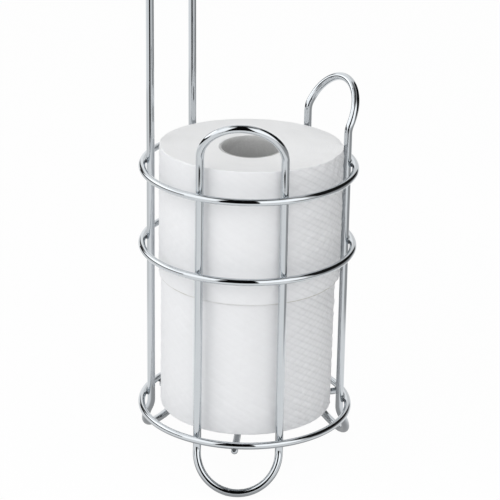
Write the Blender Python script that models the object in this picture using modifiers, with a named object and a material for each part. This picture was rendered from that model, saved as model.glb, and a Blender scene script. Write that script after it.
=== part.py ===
"""Free-standing toilet roll holder: a chrome wire cage with two spare rolls and an arm for a third.

Three rings go round three pairs of upright wires. The front pair and the right pair are each one
closed wire, with a foot bent out below and an arch bent out above. The left pair is the tall one:
it rises past the cage, draws together and turns in over it as an arm with an upturned end. Three
floor wires carry the lower roll, and the upper roll stands on it. Metres, +Z up, front towards -Y.
"""
import math

import bmesh
import bpy
from mathutils import Vector

# Wire gauges, and the gap left where two pieces touch
RING_WIRE_DIAMETER = 0.0049
UPRIGHT_WIRE_DIAMETER = 0.0056
FLOOR_WIRE_DIAMETER = 0.0049
SEAT_GAP = 0.0003

# Rings: centre-line radius, and rise of the upper two above the bottom ring
RING_RADIUS = 0.0737
MIDDLE_RING_RISE = 0.1218
TOP_RING_RISE = 0.1789

# Upright pairs, by the angle round the cage from the front, to the right
PAIR_SPACING = 0.057
FRONT_ANGLE = 0.0
RIGHT_ANGLE = math.radians(121.8)
LEFT_ANGLE = math.radians(-120.1)
BEND_RADIUS = 0.015

# Feet: the bend below the bottom ring, the wire past it to the tip, and the lean outwards
FOOT_BEND_DROP = 0.0041
FOOT_LENGTH = 0.0345
FOOT_LEAN = math.radians(27.9)
FOOT_FLAT_DEPTH = 0.0003

# Arches: the bend above the bottom ring, the wire past it to each tip, and the lean outwards
ARCH_BEND_RISE = 0.2018
FRONT_ARCH_LENGTH = 0.0316
RIGHT_ARCH_LENGTH = 0.0333
ARCH_LEAN = math.radians(26.6)

# Tall pair and arm: the pair leans round the rings and outwards as it rises, then draws together
TOP_RING_TURN = math.radians(4.85)
TALL_TURN = math.radians(5.75)
TALL_LEAN_OUT = 0.0023
ARM_RISE = 0.5775
ARM_SPACING = 0.022
ARM_BEND_RADIUS = 0.018
ARM_OVERHANG = 0.058
DRAW_IN_HEIGHT = 0.06
DRAW_IN_BELOW_ARM = 0.024
ARM_END_BEND_RADIUS = 0.01
ARM_END_LIFT = math.radians(78)
ARM_END_LENGTH = 0.018

# Floor wires: angle round the cage of each, and the place of both ends
FLOOR_ANGLES = {
    "floor_wire_front": math.radians(-1.4),
    "floor_wire_right": math.radians(118.6),
    "floor_wire_left": math.radians(-118.3),
}
FLOOR_END_INSET = 0.0008
FLOOR_HUB_RADIUS = 0.0018

# Paper rolls: card core, free room to the uprights, length, and how far each stands off the cage's axis
CORE_BORE_RADIUS = 0.0205
CORE_WALL = 0.0012
LOWER_ROLL_CLEARANCE = 0.00435
LOWER_ROLL_LENGTH = 0.098
LOWER_ROLL_OFFSET = 0.0006
LOWER_ROLL_ANGLE = math.radians(93.7)
UPPER_ROLL_CLEARANCE = 0.00185
UPPER_ROLL_LENGTH = 0.0939
UPPER_ROLL_OFFSET = 0.00145
UPPER_ROLL_ANGLE = math.radians(93.7)
PAPER_EDGE_RADIUS = 0.001

# The lower roll's rise above the bottom ring
LOWER_ROLL_SEAT = 0.002

# How finely round shapes are divided, how near points merge, and where shading turns sharp
RING_STEPS = 64
WIRE_SIDES = 10
ARC_STEPS = 20
BEND_STEPS = 5
LEG_STEPS = 3
DRAW_IN_STEPS = 8
ROLL_STEPS = 48
EDGE_STEPS = 4
MERGE_DISTANCE = 0.00001
SHARP_ANGLE = math.radians(50)

# Sizes that follow from the ones above
RING_WIRE_RADIUS = RING_WIRE_DIAMETER / 2
UPRIGHT_WIRE_RADIUS = UPRIGHT_WIRE_DIAMETER / 2
FLOOR_WIRE_RADIUS = FLOOR_WIRE_DIAMETER / 2
UPRIGHT_CIRCLE = RING_RADIUS - RING_WIRE_RADIUS - UPRIGHT_WIRE_RADIUS - SEAT_GAP
PAIR_REACH = math.sqrt(UPRIGHT_CIRCLE ** 2 - (PAIR_SPACING / 2) ** 2)
CAGE_INNER_RADIUS = UPRIGHT_CIRCLE - UPRIGHT_WIRE_RADIUS
LOWER_ROLL_RADIUS = CAGE_INNER_RADIUS - LOWER_ROLL_CLEARANCE
UPPER_ROLL_RADIUS = CAGE_INNER_RADIUS - UPPER_ROLL_CLEARANCE


def past_bend(run, lean):
    """How far out and how far along a wire has come once it has run this far past a bend."""
    turned = min(run / BEND_RADIUS, lean)
    straight = max(run - BEND_RADIUS * lean, 0.0)
    out = BEND_RADIUS * (1 - math.cos(turned)) + straight * math.sin(lean)
    along = BEND_RADIUS * math.sin(turned) + straight * math.cos(lean)
    return out, along


FOOT_OUT, FOOT_DOWN = past_bend(FOOT_LENGTH, FOOT_LEAN)
BOTTOM_RING_HEIGHT = FOOT_BEND_DROP + FOOT_DOWN + UPRIGHT_WIRE_RADIUS - FOOT_FLAT_DEPTH
FOOT_REACH = PAIR_REACH + FOOT_OUT + UPRIGHT_WIRE_RADIUS
RING_REACH = RING_RADIUS + RING_WIRE_RADIUS
CAGE_SETBACK = (FOOT_REACH - RING_REACH) / 2


def clear_scene():
    """Remove whatever the file holds."""
    for old in list(bpy.data.objects):
        bpy.data.objects.remove(old, do_unlink=True)


def new_collection(name):
    """A collection of this name, linked to the scene."""
    collection = bpy.data.collections.new(name)
    bpy.context.scene.collection.children.link(collection)
    return collection


def new_material(name, colour, roughness, metallic=0.0):
    """A plain Principled material."""
    material = bpy.data.materials.new(name)
    material.use_nodes = True
    shader = material.node_tree.nodes["Principled BSDF"]
    shader.inputs["Base Color"].default_value = (*colour, 1.0)
    shader.inputs["Roughness"].default_value = roughness
    shader.inputs["Metallic"].default_value = metallic
    return material


def add_object(name, data, collection, parent, location=(0.0, 0.0, 0.0)):
    """Link an object that holds this data, placed from its parent."""
    item = bpy.data.objects.new(name, data)
    collection.objects.link(item)
    item.parent = parent
    item.location = location
    return item


def around(angle, reach, side, height):
    """The point at this angle round the cage: reach out from its axis and side to the right."""
    outward = Vector((math.sin(angle), -math.cos(angle), 0.0))
    across = Vector((math.cos(angle), math.sin(angle), 0.0))
    return outward * reach + across * side + Vector((0.0, 0.0, height))


def u_outline(half_width, length):
    """Right half of a U as (side, run) points: up its leg, then round to the middle of the tip."""
    leg = length - half_width
    points = [(half_width, leg * step / LEG_STEPS) for step in range(LEG_STEPS)]
    quarter = ARC_STEPS // 2
    for step in range(quarter + 1):
        turn = math.pi / 2 * step / quarter
        points.append((half_width * math.cos(turn), leg + half_width * math.sin(turn)))
    return points


def foot_points(angle):
    """Right half of a pair's foot, from the bend down to the tip."""
    points = []
    for side, run in u_outline(PAIR_SPACING / 2, FOOT_LENGTH):
        out, down = past_bend(run, FOOT_LEAN)
        points.append((angle, PAIR_REACH + out, side, -FOOT_BEND_DROP - down))
    return points


def arch_points(angle, length):
    """Right half of a pair's arch, from the bend up to the tip."""
    points = []
    for side, run in u_outline(PAIR_SPACING / 2, length):
        out, up = past_bend(run, ARCH_LEAN)
        points.append((angle, PAIR_REACH + out, side, ARCH_BEND_RISE + up))
    return points


def draw_in_points(angle):
    """The tall pair's right wire where it draws in towards its neighbour, below the arm."""
    top = ARM_RISE - ARM_BEND_RADIUS
    start = top - DRAW_IN_BELOW_ARM - DRAW_IN_HEIGHT
    wide = math.asin(PAIR_SPACING / 2 / UPRIGHT_CIRCLE)
    narrow = math.asin(ARM_SPACING / 2 / UPRIGHT_CIRCLE)
    points = []
    for step in range(DRAW_IN_STEPS + 1):
        share = step / DRAW_IN_STEPS
        blend = (1 - math.cos(math.pi * share)) / 2
        swing = wide + (narrow - wide) * blend
        reach = UPRIGHT_CIRCLE * math.cos(swing) + TALL_LEAN_OUT
        side = UPRIGHT_CIRCLE * math.sin(swing)
        points.append((angle, reach, side, start + DRAW_IN_HEIGHT * share))
    return points


def arm_points(angle):
    """The arm's right wire: in over the cage, then up, and round to the middle of its end."""
    half = ARM_SPACING / 2
    reach = math.sqrt(UPRIGHT_CIRCLE ** 2 - half ** 2) + TALL_LEAN_OUT
    points = []
    for step in range(BEND_STEPS + 1):
        turn = math.pi / 2 * step / BEND_STEPS
        inward = ARM_BEND_RADIUS * (1 - math.cos(turn))
        height = ARM_RISE - ARM_BEND_RADIUS * (1 - math.sin(turn))
        points.append((angle, reach - inward, half, height))
    for step in range(BEND_STEPS + 1):
        turn = ARM_END_LIFT * step / BEND_STEPS
        inward = ARM_END_BEND_RADIUS * math.sin(turn)
        lift = ARM_END_BEND_RADIUS * (1 - math.cos(turn))
        points.append((angle, -ARM_OVERHANG - inward, half, ARM_RISE + lift))
    bend_in, bend_up = points[-1][1], points[-1][3]
    quarter = ARC_STEPS // 4
    leg = ARM_END_LENGTH - half
    for step in range(quarter + 1):
        turn = math.pi / 2 * step / quarter
        run = leg + half * math.sin(turn)
        points.append((angle, bend_in - run * math.cos(ARM_END_LIFT), half * math.cos(turn),
                       bend_up + run * math.sin(ARM_END_LIFT)))
    return points


def closed_wire(right_half):
    """The whole wire from its right half, which runs from the foot's tip to the top tip."""
    right = [around(*point) for point in right_half]
    left = [around(angle, reach, -side, height) for angle, reach, side, height in right_half]
    return right + left[-2:0:-1]


def wire_object(name, points, collection, parent, material):
    """A closed round wire along these points, as a mesh that can be cut."""
    curve = bpy.data.curves.new(name, "CURVE")
    curve.dimensions = "3D"
    curve.bevel_depth = UPRIGHT_WIRE_RADIUS
    curve.bevel_resolution = WIRE_SIDES // 2 - 2
    spline = curve.splines.new("POLY")
    spline.points.add(len(points) - 1)
    for place, point in zip(spline.points, points):
        place.co = (*point, 1.0)
    spline.use_cyclic_u = True
    guide = add_object(name + "_line", curve, collection, parent)
    bpy.context.view_layer.update()
    evaluated = guide.evaluated_get(bpy.context.evaluated_depsgraph_get())
    mesh = bpy.data.meshes.new_from_object(evaluated)
    place = guide.matrix_world.copy()
    bpy.data.objects.remove(guide, do_unlink=True)
    wire = add_object(name, mesh, collection, parent)
    wire.matrix_world = place
    mesh.materials.clear()
    mesh.materials.append(material)
    mesh.shade_smooth()
    return wire


def cut_foot_flat(wire, cutter):
    """Cut the wire flat where its foot meets the floor."""
    cut = wire.modifiers.new("foot_flat", "BOOLEAN")
    cut.operation = "DIFFERENCE"
    cut.object = cutter


def floor_cutter(collection):
    """A block whose top is the floor, wider than the stand."""
    span = 2 * (FOOT_REACH + RING_REACH)
    bpy.ops.mesh.primitive_cube_add(size=span, location=(0.0, 0.0, -span / 2))
    block = bpy.context.object
    block.name = "floor_cutter"
    block.hide_render = True
    block.display_type = "WIRE"
    for home in list(block.users_collection):
        home.objects.unlink(block)
    collection.objects.link(block)
    return block


def ring_object(name, rise, collection, parent, material):
    """A closed ring of wire round the uprights."""
    bpy.ops.mesh.primitive_torus_add(
        major_segments=RING_STEPS, minor_segments=WIRE_SIDES,
        major_radius=RING_RADIUS, minor_radius=RING_WIRE_RADIUS)
    made = bpy.context.object
    mesh = made.data
    mesh.name = name
    bpy.data.objects.remove(made, do_unlink=True)
    mesh.materials.append(material)
    mesh.shade_smooth()
    return add_object(name, mesh, collection, parent, (0.0, 0.0, rise))


def floor_wire_object(name, angle, collection, parent, material):
    """A straight wire from under the bottom ring up to the middle of the cage's floor."""
    ring_end = RING_RADIUS - FLOOR_END_INSET
    ring_drop = RING_WIRE_RADIUS + SEAT_GAP + FLOOR_WIRE_RADIUS
    core_drop = SEAT_GAP + FLOOR_WIRE_RADIUS - LOWER_ROLL_SEAT
    slope = (ring_drop - core_drop) / (ring_end - CORE_BORE_RADIUS)
    hub_drop = ring_drop - slope * (ring_end - FLOOR_HUB_RADIUS)
    outer = around(angle, ring_end, 0.0, -ring_drop)
    inner = around(angle, FLOOR_HUB_RADIUS, 0.0, -hub_drop)
    along = outer - inner
    mesh = bpy.data.meshes.new(name)
    shape = bmesh.new()
    bmesh.ops.create_cone(shape, cap_ends=True, segments=WIRE_SIDES, radius1=FLOOR_WIRE_RADIUS,
                          radius2=FLOOR_WIRE_RADIUS, depth=along.length)
    shape.to_mesh(mesh)
    shape.free()
    mesh.materials.append(material)
    mesh.shade_smooth()
    mesh.set_sharp_from_angle(angle=SHARP_ANGLE)
    wire = add_object(name, mesh, collection, parent, (outer + inner) / 2)
    wire.rotation_mode = "QUATERNION"
    wire.rotation_quaternion = along.to_track_quat("Z", "Y")
    return wire


def turned_object(name, profile, collection, parent, location, material):
    """A turned shape: a closed profile of (radius, height) points, run round the Z axis."""
    mesh = bpy.data.meshes.new(name)
    points = [(radius, 0.0, height) for radius, height in profile]
    edges = [(index, (index + 1) % len(points)) for index in range(len(points))]
    mesh.from_pydata(points, edges, [])
    mesh.materials.append(material)
    item = add_object(name, mesh, collection, parent, location)
    turn = item.modifiers.new("turn", "SCREW")
    turn.steps = ROLL_STEPS
    turn.render_steps = ROLL_STEPS
    turn.use_merge_vertices = True
    turn.merge_threshold = MERGE_DISTANCE
    turn.use_smooth_shade = True
    return item


def paper_profile(inner, outer, length):
    """Down the outside of the wound paper between its two soft edges, then up the inside."""
    points = []
    for step in range(EDGE_STEPS + 1):
        turn = math.pi / 2 * (1 - step / EDGE_STEPS)
        points.append((outer - PAPER_EDGE_RADIUS * (1 - math.cos(turn)),
                       length - PAPER_EDGE_RADIUS * (1 - math.sin(turn))))
    for step in range(EDGE_STEPS + 1):
        turn = math.pi / 2 * step / EDGE_STEPS
        points.append((outer - PAPER_EDGE_RADIUS * (1 - math.cos(turn)),
                       PAPER_EDGE_RADIUS * (1 - math.sin(turn))))
    return points + [(inner, 0.0), (inner, length)]


def core_profile(length):
    """Down the outside of the card tube, then up its bore."""
    outer = CORE_BORE_RADIUS + CORE_WALL
    return [(outer, length), (outer, 0.0), (CORE_BORE_RADIUS, 0.0), (CORE_BORE_RADIUS, length)]


def paper_roll(prefix, radius, length, location, collection, parent, paper, card):
    """A roll's paper and its card core, standing on end."""
    inner = CORE_BORE_RADIUS + CORE_WALL + SEAT_GAP
    turned_object(prefix + "_paper", paper_profile(inner, radius, length), collection, parent,
                  location, paper)
    turned_object(prefix + "_core", core_profile(length), collection, parent, location, card)


def build():
    """Make the holder and its rolls."""
    clear_scene()
    collection = new_collection("toilet_roll_holder")
    cutters = new_collection("cutters")
    chrome = new_material("chrome_wire", (0.79, 0.8, 0.81), 0.08, 1.0)
    paper = new_material("white_paper", (0.91, 0.92, 0.93), 0.95)
    card = new_material("pale_card", (0.72, 0.71, 0.69), 0.9)

    cage = add_object("cage_axis", None, collection, None,
                      (0.0, CAGE_SETBACK, BOTTOM_RING_HEIGHT))
    block = floor_cutter(cutters)

    ring_object("bottom_ring", 0.0, collection, cage, chrome)
    ring_object("middle_ring", MIDDLE_RING_RISE, collection, cage, chrome)
    ring_object("top_ring", TOP_RING_RISE, collection, cage, chrome)

    for name, angle, arch_length in (("front_loop", FRONT_ANGLE, FRONT_ARCH_LENGTH),
                                     ("right_loop", RIGHT_ANGLE, RIGHT_ARCH_LENGTH)):
        half = foot_points(angle)[::-1] + arch_points(angle, arch_length)
        wire = wire_object(name, closed_wire(half), collection, cage, chrome)
        cut_foot_flat(wire, block)

    weld = (LEFT_ANGLE + TOP_RING_TURN, PAIR_REACH, PAIR_SPACING / 2, TOP_RING_RISE)
    arm_angle = LEFT_ANGLE + TALL_TURN
    upper = draw_in_points(arm_angle) + arm_points(arm_angle)
    half = foot_points(LEFT_ANGLE)[::-1] + [weld] + upper
    wire = wire_object("upright_frame", closed_wire(half), collection, cage, chrome)
    cut_foot_flat(wire, block)

    for name, angle in FLOOR_ANGLES.items():
        floor_wire_object(name, angle, collection, cage, chrome)

    lower_place = around(LOWER_ROLL_ANGLE, LOWER_ROLL_OFFSET, 0.0, LOWER_ROLL_SEAT)
    upper_place = around(UPPER_ROLL_ANGLE, UPPER_ROLL_OFFSET, 0.0,
                         LOWER_ROLL_SEAT + LOWER_ROLL_LENGTH + SEAT_GAP)
    paper_roll("lower_roll", LOWER_ROLL_RADIUS, LOWER_ROLL_LENGTH, lower_place, collection, cage,
               paper, card)
    paper_roll("upper_roll", UPPER_ROLL_RADIUS, UPPER_ROLL_LENGTH, upper_place, collection, cage,
               paper, card)


build()
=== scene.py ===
# %% [markdown]
# A free-standing toilet roll holder, bent and welded from chrome-plated wire. Three rings go round
# three pairs of uprights. Two pairs are closed loops with a foot and an arch. The third is tall, and
# turns in over the cage as the arm that a roll hangs on. Two spare rolls stand in the cage.
#
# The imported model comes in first, because it fixes every place.

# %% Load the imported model
import math

import bmesh
import bpy
from mathutils import Matrix, Vector, noise


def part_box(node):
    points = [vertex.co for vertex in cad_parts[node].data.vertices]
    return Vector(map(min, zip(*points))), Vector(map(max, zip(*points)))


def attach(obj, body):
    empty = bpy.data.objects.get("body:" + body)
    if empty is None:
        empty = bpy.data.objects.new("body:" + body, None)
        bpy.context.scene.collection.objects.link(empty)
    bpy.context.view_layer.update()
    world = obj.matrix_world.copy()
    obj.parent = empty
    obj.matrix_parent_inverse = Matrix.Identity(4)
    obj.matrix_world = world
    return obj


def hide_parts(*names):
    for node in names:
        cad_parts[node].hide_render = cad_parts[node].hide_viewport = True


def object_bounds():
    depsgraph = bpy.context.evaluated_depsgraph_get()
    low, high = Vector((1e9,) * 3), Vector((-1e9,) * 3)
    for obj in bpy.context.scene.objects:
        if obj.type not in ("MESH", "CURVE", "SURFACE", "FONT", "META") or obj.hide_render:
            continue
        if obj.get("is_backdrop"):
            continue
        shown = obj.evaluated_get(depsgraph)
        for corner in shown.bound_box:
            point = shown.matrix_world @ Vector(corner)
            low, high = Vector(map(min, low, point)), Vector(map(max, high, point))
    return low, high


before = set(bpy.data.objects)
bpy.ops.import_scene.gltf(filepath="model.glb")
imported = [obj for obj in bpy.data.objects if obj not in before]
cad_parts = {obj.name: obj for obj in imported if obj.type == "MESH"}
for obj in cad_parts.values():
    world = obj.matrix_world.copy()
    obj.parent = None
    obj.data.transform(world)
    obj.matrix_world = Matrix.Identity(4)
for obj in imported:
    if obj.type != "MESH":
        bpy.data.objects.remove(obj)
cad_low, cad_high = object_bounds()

MM = 0.001
FULL_TURN = 2 * math.pi
QUARTER_TURN = math.pi / 2
DEGREE = math.pi / 180
IN_DEGREES = 180 / math.pi
UP = Vector((0.0, 0.0, 1.0))


def middle(node):
    """Middle of a node's box."""
    low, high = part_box(node)
    return (low + high) / 2


CAGE = middle("bottom_ring")
print("cage axis at", [round(value / MM, 2) for value in CAGE], "mm")

# %% [markdown]
# The camera stands at the photograph's angle: a long lens, about 22 degrees above the level, a little
# to the right of the front and tilted by one degree. It aims near the cage's axis, so it is worked out
# from that axis, one distance and three angles.

# %% Camera
LENS = 176.53
SENSOR = 36.0
CAMERA_DISTANCE = 1714.15 * MM
CAMERA_DROP = 21.618 * DEGREE
CAMERA_TURN = 3.656 * DEGREE
CAMERA_TILT = 1.0486 * DEGREE
AIM_ASIDE = 1.9 * MM
AIM_RISE = 116.07 * MM

view = bpy.data.cameras.new("camera")
view.lens = LENS
view.sensor_width = SENSOR
camera = bpy.data.objects.new("camera", view)
bpy.context.scene.collection.objects.link(camera)
sideways = Matrix.Rotation(CAMERA_TURN, 4, "Z")
aim = CAGE + sideways @ Vector((AIM_ASIDE, 0.0, AIM_RISE))
downwards = Matrix.Rotation(QUARTER_TURN - CAMERA_DROP, 4, "X")
away = Matrix.Translation((0.0, 0.0, CAMERA_DISTANCE))
tilt = Matrix.Rotation(CAMERA_TILT, 4, "Z")
camera.matrix_world = Matrix.Translation(aim) @ sideways @ downwards @ away @ tilt
bpy.context.scene.camera = camera
print("camera at", [round(value, 3) for value in camera.matrix_world.translation])

# %% [markdown]
# A finish is a graph of nodes, and most of the nodes are sums. They read better as sums, so a small
# class wraps one socket and turns Python's operators into Math nodes.

# %% Shader sums
class Signal:
    """One shader socket that Python's operators work on."""

    def __init__(self, graph, socket):
        self.graph = graph
        self.socket = socket

    def __add__(self, other):
        return self.graph.sum("ADD", self, other)

    def __radd__(self, other):
        return self.graph.sum("ADD", other, self)

    def __sub__(self, other):
        return self.graph.sum("SUBTRACT", self, other)

    def __rsub__(self, other):
        return self.graph.sum("SUBTRACT", other, self)

    def __mul__(self, other):
        return self.graph.sum("MULTIPLY", self, other)

    def __rmul__(self, other):
        return self.graph.sum("MULTIPLY", other, self)

    def __truediv__(self, other):
        return self.graph.sum("DIVIDE", self, other)

    def __rtruediv__(self, other):
        return self.graph.sum("DIVIDE", other, self)


# %% [markdown]
# Every other node comes from one method of the graph: its settings are set first, and then its
# sockets. The other methods are what more than one finish needs.

# %% Shader graph
class Graph:
    """A node tree, and the one method that fills it."""

    def __init__(self, tree):
        self.tree = tree
        tree.nodes.clear()

    def node(self, kind, settings, sockets, output=None):
        """Add a node, and give one of its outputs as a Signal."""
        made = self.tree.nodes.new(kind)
        for name, setting in settings.items():
            setattr(made, name, setting)
        for key, value in sockets.items():
            if isinstance(value, Signal):
                self.tree.links.new(value.socket, made.inputs[key])
            else:
                made.inputs[key].default_value = value
        return made if output is None else Signal(self, made.outputs[output])

    def sum(self, operation, *terms):
        """A Math node over these terms."""
        return self.node("ShaderNodeMath", {"operation": operation}, dict(enumerate(terms)), 0)

    def place(self):
        """Where on the piece the shader is."""
        return self.node("ShaderNodeTexCoord", {}, {}, "Object")

    def axes(self, vector):
        """A vector's three numbers."""
        return [self.node("ShaderNodeSeparateXYZ", {}, {"Vector": vector}, axis) for axis in "XYZ"]

    def turn(self, x, y):
        """Turn round the Z axis, counted from the front."""
        return self.sum("ARCTAN2", x, 0 - y)

    def reach(self, x, y):
        """Distance from the Z axis."""
        return self.sum("SQRT", x * x + y * y)

    def smooth_step(self, value, start, end):
        """From 0 at start to 1 at end, without corners."""
        sockets = {"Value": value, "From Min": start, "From Max": end}
        return self.node("ShaderNodeMapRange", {"interpolation_type": "SMOOTHSTEP"}, sockets, "Result")

    def window(self, value, low, high, soft):
        """1 between low and high, and 0 past a soft width outside them."""
        rise = self.smooth_step(value, low - soft, low)
        return rise * (1 - self.smooth_step(value, high, high + soft))

    def cloud(self, place, scale, detail=2.0):
        """A cloudy value round one half."""
        sockets = {"Vector": place, "Scale": scale, "Detail": detail}
        return self.node("ShaderNodeTexNoise", {}, sockets, "Fac")

    def tint(self, share, first, second):
        """A colour between two."""
        return self.node("ShaderNodeMix", {"data_type": "RGBA"}, {0: share, 6: first, 7: second}, 2)

    def bump(self, height, strength, distance):
        """A normal that leans with the height."""
        sockets = {"Height": height, "Strength": strength, "Distance": distance}
        return self.node("ShaderNodeBump", {}, sockets, "Normal")

    def ray(self, kind):
        """1 for rays of this kind, and 0 for the others."""
        return self.node("ShaderNodeLightPath", {}, {}, kind)

    def looking(self):
        """1 for rays that look: from the camera, off a mirror or through glass."""
        return self.ray("Is Camera Ray") + self.ray("Is Glossy Ray") + self.ray("Is Transmission Ray")

    def glow(self, level):
        """Plain light of this level."""
        return self.node("ShaderNodeEmission", {}, {"Color": level, "Strength": 1.0}, 0)

    def paint(self, colour):
        """Matt paint."""
        return self.node("ShaderNodeBsdfDiffuse", {}, {"Color": colour}, 0)

    def surface(self, shader):
        """Finish the material with this shader."""
        self.node("ShaderNodeOutputMaterial", {}, {"Surface": shader})

    def principled(self, sockets):
        """Finish the material with a Principled shader."""
        self.surface(self.node("ShaderNodeBsdfPrincipled", {}, sockets, "BSDF"))


def new_finish(name):
    """A new material and its graph."""
    material = bpy.data.materials.new(name)
    material.use_nodes = True
    return material, Graph(material.node_tree)


# %% [markdown]
# Chrome plate is a mirror with a faint blue cast. What makes it look like metal is what it reflects, so
# its own pattern is kept very quiet: a little haze where the plating is thinner, and a hardly visible
# waviness of the drawn wire. The weld spots are plated over as well, but on a rougher ground, and their
# colour is painted nearly black, as painted shade and dark reflections of the crevices round them.

# %% Chrome finishes
HAZE_SCALE = 130.0
WAVE_SCALE = 420.0
GRAIN_SCALE = 1500.0
PLATE_DARK = (0.57, 0.6, 0.626, 1.0)
PLATE_BRIGHT = (0.6, 0.63, 0.654, 1.0)
# The weld colours are painted shade: the dark of the crevices round each weld, not the metal's own tone.
WELD_SHADE_DEEP = (0.015, 0.017, 0.02, 1.0)
WELD_SHADE_PALE = (0.2, 0.21, 0.225, 1.0)


def chrome_finish():
    """Bright plated wire."""
    material, graph = new_finish("chrome_plate")
    place = graph.place()
    haze = graph.cloud(place, HAZE_SCALE)
    wave = graph.cloud(place, WAVE_SCALE)
    graph.principled({
        "Base Color": graph.tint(haze, PLATE_DARK, PLATE_BRIGHT),
        "Metallic": 1.0,
        "Roughness": 0.03 + 0.05 * haze,
        "Normal": graph.bump(wave, 0.25, 0.02 * MM),
    })
    return material


def weld_finish():
    """Plated weld metal, duller than the wire, and painted dark for the shade in its crevices."""
    material, graph = new_finish("chrome_weld_painted_shade")
    grain = graph.cloud(graph.place(), GRAIN_SCALE, 4.0)
    graph.principled({
        "Base Color": graph.tint(grain, WELD_SHADE_DEEP, WELD_SHADE_PALE),
        "Metallic": 1.0,
        "Roughness": 0.12 + 0.18 * grain,
        "Normal": graph.bump(grain, 0.5, 0.1 * MM),
    })
    return material


CHROME = chrome_finish()
WELD = weld_finish()
print("finishes:", CHROME.name, WELD.name)

# %% [markdown]
# Every wire here is drawn wire, so one routine makes them all. It starts from a circle, extrudes its
# rim, and moves each new rim to the next station of the wire's route. A curve with a bevel would be
# shorter to write, but extruding keeps the rims square to the route and evenly turned in every bend,
# and a mirror finish shows any unevenness.
#
# The turn of the section is carried from station to station, so it never twists. A closed wire comes
# home a little turned, and that is shared out over its length.

# %% Sweep a round section along a route
RING_WIRE_RADIUS = 2.45 * MM
UPRIGHT_WIRE_RADIUS = 2.8 * MM
FLOOR_WIRE_RADIUS = 2.45 * MM
PLATE_INSET = 0.02 * MM
WIRE_SIDES = 28


def carried_frames(points, closed):
    """A matrix for every station, square to the route, without twist."""
    count = len(points)
    tangents = []
    for index, point in enumerate(points):
        ahead = points[(index + 1) % count] if closed or index < count - 1 else point
        behind = points[index - 1] if closed or index > 0 else point
        tangents.append((ahead - behind).normalized())
    side = tangents[0].orthogonal().normalized()
    sides = [side]
    for before, after in zip(tangents, tangents[1:]):
        side = before.rotation_difference(after) @ side
        side = (side - after * side.dot(after)).normalized()
        sides.append(side)
    untwist = 0.0
    if closed:
        home = tangents[-1].rotation_difference(tangents[0]) @ sides[-1]
        untwist = math.atan2(home.cross(sides[0]).dot(tangents[0]), home.dot(sides[0]))
    frames = []
    for index, (point, tangent, side) in enumerate(zip(points, tangents, sides)):
        side = Matrix.Rotation(untwist * index / count, 3, tangent) @ side
        turn = Matrix((side, tangent.cross(side), tangent)).transposed().to_4x4()
        frames.append(Matrix.Translation(point) @ turn)
    return frames


def extrude_sections(shape, frames):
    """Extrude a rim from frame to frame, and give the first and the last rim."""
    bmesh.ops.transform(shape, matrix=frames[0], verts=shape.verts[:])
    first = shape.edges[:]
    rim = first
    for before, after in zip(frames, frames[1:]):
        made = bmesh.ops.extrude_edge_only(shape, edges=rim)["geom"]
        verts = [item for item in made if isinstance(item, bmesh.types.BMVert)]
        rim = [item for item in made if isinstance(item, bmesh.types.BMEdge)]
        bmesh.ops.transform(shape, matrix=after @ before.inverted(), verts=verts)
    return first, rim


def sweep_wire(points, radius, closed, sizes=None):
    """A round wire along the points. sizes makes it thicker or thinner at each station."""
    frames = carried_frames(points, closed)
    if sizes:
        frames = [place @ Matrix.Scale(size, 4) for place, size in zip(frames, sizes)]
    shape = bmesh.new()
    bmesh.ops.create_circle(shape, cap_ends=False, segments=WIRE_SIDES, radius=radius)
    first, last = extrude_sections(shape, frames)
    if closed:
        bmesh.ops.bridge_loops(shape, edges=first + last)
    else:
        for rim in (first, last):
            bmesh.ops.holes_fill(shape, edges=rim, sides=0)
    return shape


# %% [markdown]
# A bmesh is only a shape, so it is written to a mesh, and an object puts that in the scene. A piece of
# the holder also says which body it rides on and which imported node it stands for.
# The welds stand for none, because the imported solids leave a gap there.

# %% Objects and pieces
def put_in_scene(name, shape, materials):
    """An object in the scene, made of a bmesh."""
    mesh = bpy.data.meshes.new(name)
    shape.to_mesh(mesh)
    shape.free()
    for material in materials:
        mesh.materials.append(material)
    made = bpy.data.objects.new(name, mesh)
    bpy.context.scene.collection.objects.link(made)
    return made


def finish_piece(name, shape, materials, body, replaced):
    """Make a piece of a bmesh. It rides on a body and may stand for a node."""
    bmesh.ops.recalc_face_normals(shape, faces=shape.faces[:])
    piece = put_in_scene(name, shape, materials)
    piece.data.shade_smooth()
    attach(piece, body)
    if replaced:
        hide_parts(replaced)
    print(name, len(piece.data.polygons), "faces")


# %% [markdown]
# A ring is a straight length of wire, rolled round and butt-welded to itself. Its shape is a circle
# spun once round the cage's axis. The butt weld leaves a thin raised collar at the back of the cage,
# which is the wire swollen over a millimetre or so of its length.

# %% Rings
RING_STEPS = 360
COLLAR_RISE = 0.035
COLLAR_WIDTH = 0.7 * MM
RING_COLLARS = {
    "bottom_ring": 168 * DEGREE,
    "middle_ring": 176 * DEGREE,
    "top_ring": 163 * DEGREE,
}


def collar(distance):
    """How much thicker a wire is at this distance from its butt weld."""
    return COLLAR_RISE * math.exp(-(distance / COLLAR_WIDTH) ** 2)


def round_size(node):
    """Foot of a round node's axis, its outer radius and its height."""
    low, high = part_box(node)
    centre = (low + high) / 2
    return Vector((centre.x, centre.y, low.z)), (high.x - low.x) / 2, high.z - low.z


def spin_round(shape, steps):
    """Spin a section once round the Z axis."""
    bmesh.ops.spin(shape, geom=shape.verts[:] + shape.edges[:], cent=(0.0, 0.0, 0.0), axis=UP,
                   angle=FULL_TURN, steps=steps, use_merge=True)


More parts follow.
